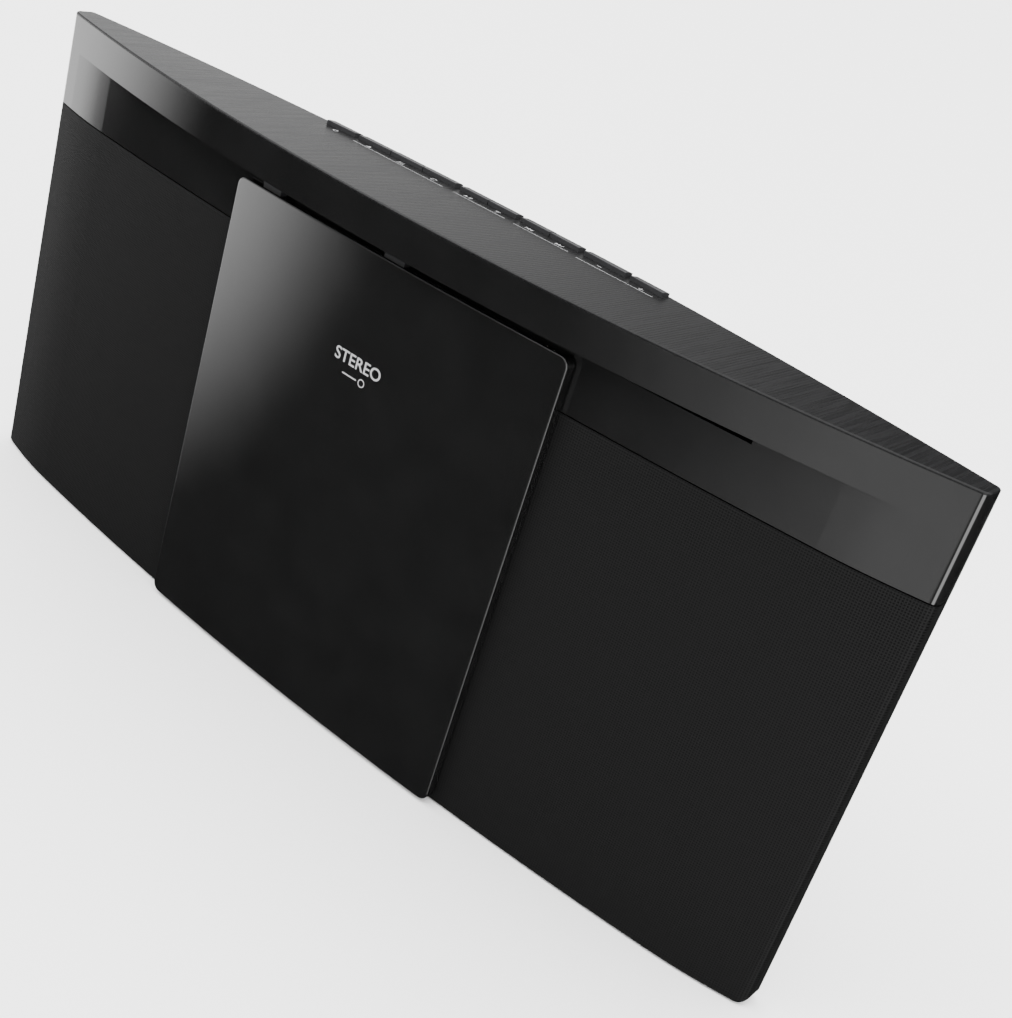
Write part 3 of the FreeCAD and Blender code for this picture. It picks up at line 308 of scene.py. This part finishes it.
def stroke(start, end, width):
    (x0, y0), (x1, y1) = start, end
    length = math.hypot(x1 - x0, y1 - y0)
    across = ((y0 - y1) / length * width / 2, (x1 - x0) / length * width / 2)
    return [(x0 - across[0], y0 - across[1]), (x1 - across[0], y1 - across[1]),
            (x1 + across[0], y1 + across[1]), (x0 + across[0], y0 + across[1])]


def arc_band(radius, width, start, end, steps=18):
    """Quads that follow an arc, as a list of outlines."""
    bands = []
    for step in range(steps):
        one, two = (math.radians(start + (end - start) * (step + extra) / steps) for extra in (0, 1))
        inner, outer = radius - width / 2, radius + width / 2
        bands.append([(reach * math.cos(angle), reach * math.sin(angle))
                      for reach, angle in ((outer, one), (outer, two), (inner, two), (inner, one))])
    return bands


def revolve(bm, profile, place, steps=32):
    """A ring of (radius, height) points turned about an axis; a radius of 0 closes an end."""
    rings = []
    for radius, height in profile:
        if radius == 0:
            rings.append([bm.verts.new(place(0.0, 0.0, height))])
            continue
        rings.append([bm.verts.new(place(radius * math.cos(2 * math.pi * step / steps),
                                         radius * math.sin(2 * math.pi * step / steps), height))
                      for step in range(steps)])
    for one, two in zip(rings, rings[1:]):
        for step in range(steps):
            after = (step + 1) % steps
            corners = [one[step % len(one)], one[after % len(one)],
                       two[after % len(two)], two[step % len(two)]]
            unique = list(dict.fromkeys(corners))
            if len(unique) > 2:
                bm.faces.new(unique)


def on_top(centre_x, centre_y):
    return lambda u, v, height: (centre_x + u, centre_y + v, TOP_Z + height)


def on_back(centre_x, centre_z, level=None):
    """Places seen from behind: u runs to the viewer's right, which is -X."""
    face = rear_y(centre_x) if level is None else level
    return lambda u, v, height: (centre_x - u, face + height, centre_z + v)


def into_bay(centre_x, centre_z, level):
    """Places seen from in front: u runs to +X and height comes towards the viewer."""
    return lambda u, v, height: (centre_x + u, level - height, centre_z + v)


BUTTON_MIDDLES = {"power": -69.4, "open_close": -53.1, "memory": -37.7, "play_mode": -22.3, "disc": -6.1,
                  "radio": 6.9, "back": 21.7, "forward": 34.7, "volume_down": 52.2, "volume_up": 69.9}


def button_icon(name):
    """The plain sign printed beside a button, as outlines a couple of millimetres wide."""
    right = [(-0.7, -0.8), (0.7, 0), (-0.7, 0.8)]

    def upright(x, width):
        return stroke((x, -0.8), (x, 0.8), width)

    def arrow(shift, way=1):
        return [(way * u + shift, v) for u, v in right]

    bar = stroke((-0.9, 0), (0.9, 0), 0.34)
    signs = {
        "power": arc_band(0.9, 0.28, 130, 410) + [stroke((0, 0.1), (0, 1.2), 0.28)],
        "open_close": [[(-1, -0.1), (1, -0.1), (0, 1.0)], stroke((-1, -0.6), (1, -0.6), 0.3)],
        "memory": [upright(x, 0.26) for x in (-1.0, 0.0, 1.0)] + [stroke((-1.6, -0.9), (1.6, -0.9), 0.2)],
        "play_mode": arc_band(1.0, 0.26, 30, 330) + [[(0.5, 0.3), (1.3, 0.3), (0.9, 1.0)]],
        "disc": [arrow(-0.9), upright(0.7, 0.3), upright(1.3, 0.3)],
        "radio": [stroke((0, -1.0), (0, 0.4), 0.26)] + arc_band(1.2, 0.24, 30, 150)
                 + arc_band(0.6, 0.24, 30, 150),
        "back": [arrow(0.7, -1), arrow(-0.6, -1), upright(-1.6, 0.28)],
        "forward": [arrow(-0.7), arrow(0.6), upright(1.6, 0.28)],
        "volume_down": [bar],
        "volume_up": [bar, stroke((0, -0.9), (0, 0.9), 0.34)],
    }
    return signs[name]


def build_button_legends():
    bm = bmesh.new()
    for name, x in BUTTON_MIDDLES.items():
        for outline in button_icon(name):
            slab(bm, outline, on_top(x, rear_y(x) - 7.2), 0.03)
    for left, right in ((-60.6, -14.8), (-12.4, 13.2), (15.4, 41.0), (43.4, 76.6)):
        middle = (left + right) / 2
        half = (right - left) / 2 - 1
        slab(bm, stroke((-half, 0), (half, 0), 0.22), on_top(middle, rear_y(middle) - 9.4), 0.03)
    finish_piece("button_legends", bm, "print_ink", "case", smooth=False)


def build_door_mark():
    """A generic word with a thin line and a small ring under it, bent to the door's face."""
    bm = bmesh.new()
    curve = bpy.data.curves.new("door_word", "FONT")
    curve.body = "STEREO"
    curve.size = 6.2
    curve.align_x = "CENTER"
    curve.offset = 0.06
    curve.extrude = 0.0
    word = bpy.data.objects.new("door_word", curve)
    flat = bpy.data.meshes.new_from_object(word)
    bpy.data.objects.remove(word)
    verts = [bm.verts.new((vertex.co.x, vertex.co.y, 0.03)) for vertex in flat.vertices]
    for polygon in flat.polygons:
        bm.faces.new([verts[index] for index in polygon.vertices])
    flat_signs = [stroke((-5.6, -3.6), (1.0, -3.6), 0.5)] + [
        [(u + 3.4, v - 3.6) for u, v in band] for band in arc_band(1.3, 0.36, 0, 360, 24)]
    for outline in flat_signs:
        bm.faces.new([bm.verts.new((u, v, 0.03)) for u, v in outline])
    bmesh.ops.remove_doubles(bm, verts=bm.verts, dist=0.0005)
    raised = bmesh.ops.extrude_face_region(bm, geom=bm.faces[:])["geom"]
    for vertex in (item for item in raised if isinstance(item, bmesh.types.BMVert)):
        vertex.co.z = 0.0
    middle_x, middle_z = -1.5, 132.5
    for vertex in bm.verts:
        u, v, height = vertex.co
        x = middle_x + u
        vertex.co = (x, door_y(x) - height, middle_z + v)
    finish_piece("door_mark", bm, "print_ink", "door", smooth=False)


def build_hub_details():
    """Three balls that grip a disc, and a bright ring round the hub's nose."""
    bm = bmesh.new()
    for turn in (90, 210, 330):
        x = DISC_X + 7.1 * math.cos(math.radians(turn))
        z = DISC_Z + 7.1 * math.sin(math.radians(turn))
        bmesh.ops.create_uvsphere(bm, u_segments=18, v_segments=12, radius=0.75,
                                  matrix=Matrix.Translation((x, TURNTABLE_Y - 1.0, z)))
    finish_piece("hub_balls", bm, "chrome_ball", "turntable")
    bm = bmesh.new()
    revolve(bm, [(4.0, 2.64), (4.6, 2.9), (5.1, 2.66), (5.1, 2.5), (4.0, 2.5), (4.0, 2.64)],
            into_bay(DISC_X, DISC_Z, TURNTABLE_Y + 0.02))
    finish_piece("hub_ring", bm, "chrome_ball", "turntable")


def build_pickup_details():
    """The lens and the ring that holds it."""
    place = into_bay(SLED_X, DISC_Z, SLED_FRONT_Y)
    bm = bmesh.new()
    revolve(bm, [(0, 0.9), (0.8, 0.82), (1.5, 0.55), (1.9, 0.1), (2.0, -0.1), (0, -0.1)], place)
    finish_piece("pickup_lens", bm, "lens_glass", "laser_sled")
    bm = bmesh.new()
    revolve(bm, [(2.1, -0.05), (2.1, 0.5), (2.5, 0.6), (3.4, 0.35), (3.6, -0.05), (2.1, -0.05)], place)
    finish_piece("lens_ring", bm, "socket_black", "laser_sled")


def build_well_marks():
    """Raised marks on the well's floor: four short arcs near its rim and a ring round the turntable."""
    place = into_bay(DISC_X, DISC_Z, WELL_FLOOR_Y)
    bm = bmesh.new()
    for turn in (45, 135, 225, 315):
        for band in arc_band(58.6, 0.5, turn - 12, turn + 12, 16):
            slab(bm, band, place, 0.12)
    for band in arc_band(20.5, 0.3, 0, 360, 48):
        slab(bm, band, place, 0.1)
    finish_piece("well_marks", bm, "rail_plastic", "case", smooth=False)


def build_screw_recess_painted_shade():
    """A thin dark cross on each rear screw's head: painted shade in place of the shadow inside its cross
    recess.
    """
    bm = bmesh.new()
    for sign in (-1, 1):
        for side, z in ((84, 20), (84, 128), (166, 30), (166, 128)):
            x = side * sign
            for turn in (0, 90):
                angle = math.radians(turn + 17 * (x + z) / 10)
                u, v = 1.5 * math.cos(angle), 1.5 * math.sin(angle)
                # A dark socket-black sheet just behind the back's face: painted shade for the screw's cross
                # recess.
                slab(bm, stroke((-u, -v), (u, v), 0.55), on_back(x, z, rear_y(x) - 0.6), 0.02)
    finish_piece("screw_recess_painted_shade", bm, "socket_black", "case", smooth=False)


def build_socket_rings():
    """A collar round the mouth of each round socket, level with the deepest edge of its opening."""
    jack = [(1.85, -0.3), (1.85, 0.22), (2.15, 0.34), (2.6, 0.3), (2.85, 0.05), (2.85, -0.3), (1.85, -0.3)]
    coaxial = [(3.45, -0.3), (3.45, 0.25), (3.8, 0.36), (4.6, 0.3), (4.9, 0.0), (4.9, -0.3), (3.45, -0.3)]
    for name, x, edge, finish, profile in (("aux_ring", AUX_X, 30, "socket_green", jack),
                                           ("headphone_ring", HEADPHONE_X, 44, "socket_black", jack),
                                           ("antenna_ring", ANTENNA_X, 16, "brass", coaxial)):
        bm = bmesh.new()
        revolve(bm, profile, on_back(x, SOCKET_Z, rear_y(edge) - 0.4))
        finish_piece(name, bm, finish, "case")


def build_socket_signs():
    """A plain sign above each socket."""
    bm = bmesh.new()
    for u in (-1.0, 1.0):
        slab(bm, stroke((u - 0.5, 3.0), (u + 0.5, 3.0), 0.5), on_back(AUX_X, 40.5), 0.04)
    for band in arc_band(1.6, 0.3, 0, 180, 16):
        slab(bm, band, on_back(HEADPHONE_X, 44), 0.04)
    for u in (-1.6, 1.6):
        slab(bm, stroke((u, -0.9), (u, 0.1), 0.8), on_back(HEADPHONE_X, 44), 0.04)
    slab(bm, stroke((0, -1.4), (0, 1.0), 0.35), on_back(ANTENNA_X, 46), 0.04)
    for reach in (1.2, 2.0):
        for band in arc_band(reach, 0.3, 40, 140, 10):
            slab(bm, band, on_back(ANTENNA_X, 46), 0.04)
    for band in arc_band(1.5, 0.3, 0, 300, 16):
        slab(bm, band, on_back(INLET_X, 46), 0.04)
    finish_piece("socket_signs", bm, "print_ink", "case", smooth=False)


def on_plate(proud):
    """Places on the rating plate, bent to the curve of the back; proud is how far out they start."""
    return lambda u, v, height: (PLATE_X - u, rear_y(PLATE_X - u) + proud + height, PLATE_Z + v)


def build_rating_plate():
    """A plate with rounded corners, and bars of uneven length in place of its small print."""
    flat_half, corner, half_height, thick = 20.4, 1.6, 13.0, 0.08
    bm = bmesh.new()
    columns = [-22 + 0.4 * step for step in range(5)] + [-19 + 2 * step for step in range(20)]
    columns += [flat_half + 0.4 * step for step in range(5)]
    for one, two in zip(columns, columns[1:]):
        tall = [half_height - corner + math.sqrt(max(0.0, corner ** 2 - max(0.0, abs(u) - flat_half) ** 2))
                for u in (one, two)]
        slab(bm, [(one, -tall[0]), (two, -tall[1]), (two, tall[1]), (one, tall[0])], on_plate(0.0), thick)
    finish_piece("rating_plate", bm, "label_grey", "case", smooth=False)
    bm = bmesh.new()
    for row, width in enumerate((36, 28, 32, 22, 34, 16)):
        low = 9.4 - row * 3.6
        for step in range(6):
            one, two = (-18 + width * (step + extra) / 6 for extra in (0, 1))
            slab(bm, [(one, low), (two, low), (two, low + 0.8), (one, low + 0.8)], on_plate(thick), 0.03)
    finish_piece("rating_lines", bm, "socket_black", "case", smooth=False)


# Stage, light and camera.

def build_stage():
    mesh = bpy.data.meshes.new("floor")
    half = FLOOR_SIZE / 2
    mesh.from_pydata([(-half, -half, 0), (half, -half, 0), (half, half, 0), (-half, half, 0)], [],
                     [(0, 1, 2, 3)])
    floor = bpy.data.objects.new("floor", mesh)
    bpy.context.scene.collection.objects.link(floor)
    white = Material("pale_floor", (0.93, 0.93, 0.93), 0.9, Specular_IOR_Level=0.0)
    white.link(white.ramp(white.noise(3), 0.3, 0.7, 0.86, 0.94), "Roughness")
    floor.data.materials.append(white.material)
    floor.visible_glossy = False
    build_backdrop()


def build_backdrop():
    """A pale dome that only the camera sees, so that every view has a plain background."""
    bm = bmesh.new()
    bmesh.ops.create_uvsphere(bm, u_segments=48, v_segments=24, radius=BACKDROP_RADIUS)
    mesh = bpy.data.meshes.new("backdrop")
    bm.to_mesh(mesh)
    bm.free()
    dome = bpy.data.objects.new("backdrop", mesh)
    bpy.context.scene.collection.objects.link(dome)
    pale = Material("pale_backdrop", (0.0, 0.0, 0.0), 1.0, Specular_IOR_Level=0.0,
                    Emission_Color=(1, 1, 1, 1), Emission_Strength=2.6)
    dome.data.materials.append(pale.material)
    dome.visible_diffuse = dome.visible_glossy = dome.visible_transmission = False
    dome.visible_shadow = False


def build_studio():
    """Soft light from above, with dark surroundings and a few bright panels for gloss to mirror."""
    world = bpy.data.worlds.new("studio")
    bpy.context.scene.world = world
    world.use_nodes = True
    studio = NodeTree(world.node_tree)
    heading = studio.node("ShaderNodeTexCoord").outputs["Generated"]
    split = studio.node("ShaderNodeSeparateXYZ", {"Vector": heading})
    x, y, z = (split.outputs[axis] for axis in "XYZ")
    overhead = studio.ramp(z, 0.5, 0.75, 0.0, 6.2, "SMOOTHSTEP")
    left_wall = studio.math("MULTIPLY", studio.ramp(x, -0.25, -0.8, 0.0, 1.5, "SMOOTHSTEP"),
                            studio.ramp(z, 0.0, 0.1, 0.0, 1.0))
    left_panel = studio.math("MULTIPLY", studio.ramp(x, -0.84, -0.965, 0.0, 4.0, "SMOOTHSTEP"),
                             studio.ramp(z, 0.02, -0.05, 0.0, 1.0))
    right_panel = studio.math("MULTIPLY", studio.ramp(x, 0.62, 0.72, 0.0, 7.0, "SMOOTHSTEP"),
                              studio.ramp(y, -0.2, -0.35, 0.0, 1.0))
    front_panel = studio.math("MULTIPLY", studio.ramp(x, -0.4, 0.15, 0.0, 1.5, "SMOOTHSTEP"),
                              studio.ramp(y, -0.75, -0.85, 0.0, 1.0))
    total = studio.math("ADD", overhead, left_wall)
    for panel in (left_panel, right_panel, front_panel):
        total = studio.math("ADD", total, panel)
    total = studio.math("ADD", total, 0.02)
    background = world.node_tree.nodes["Background"]
    background.inputs["Color"].default_value = (1, 1, 1, 1)
    world.node_tree.links.new(total, background.inputs["Strength"])


def area_light(name, location, target, size, power, receivers=(), soft=False):
    """A rectangular light, hidden from the camera; receivers are the only objects it reaches."""
    light = bpy.data.lights.new(name, "AREA")
    light.shape = "RECTANGLE"
    light.size, light.size_y = size
    light.energy = power
    item = bpy.data.objects.new(name, light)
    bpy.context.scene.collection.objects.link(item)
    item.location = location
    item.rotation_euler = (Vector(target) - Vector(location)).to_track_quat("-Z", "Y").to_euler()
    item.visible_camera = False
    if soft:
        light.use_nodes = True
        glow = NodeTree(light.node_tree)
        spot = glow.node("ShaderNodeNewGeometry").outputs["Parametric"]
        reach = glow.node("ShaderNodeVectorMath", {0: spot, 1: (0.5, 0.5, 0)},
                          operation="DISTANCE").outputs["Value"]
        strength = glow.ramp(reach, 0.5, 0.0, 0.0, 1.0, "SMOOTHSTEP")
        light.node_tree.links.new(strength, light.node_tree.nodes["Emission"].inputs["Strength"])
    if receivers:
        group = bpy.data.collections.new(name + "_receivers")
        for receiver in receivers:
            group.objects.link(receiver)
        item.light_linking.receiver_collection = group
    return item


def build_lights():
    area_light("key", (-1.2, -1.6, 2.2), (0, 0, 0.1), (1.5, 1.5), 25)
    area_light("door_panel", (-1.294, -0.797, -0.19), (-0.05, -0.02, 0.12), (1.1, 1.1), 24,
               [nodes["cd_door"]], soft=True)


def build_camera():
    """The view of the object from in front, above and to the right, rolled as a held picture is."""
    azimuth, elevation, roll = (math.radians(angle) for angle in (31.544, 25.492, 17.955))
    camera = bpy.data.cameras.new("camera")
    camera.lens = 53.26
    camera.sensor_width = 36.0
    camera.clip_start = 0.01
    item = bpy.data.objects.new("camera", camera)
    bpy.context.scene.collection.objects.link(item)
    turn = Matrix.Rotation(azimuth, 4, "Z") @ Matrix.Rotation(math.pi / 2 - elevation, 4, "X")
    place = Matrix.Translation((0.29465, -0.38565, 0.32246))
    item.matrix_world = place @ turn @ Matrix.Rotation(roll, 4, "Z")
    bpy.context.scene.camera = item


dress_cad_nodes()
build_button_legends()
build_door_mark()
build_hub_details()
build_pickup_details()
build_well_marks()
build_screw_recess_painted_shade()
build_socket_rings()
build_socket_signs()
build_rating_plate()
build_stage()
build_studio()
build_lights()
build_camera()
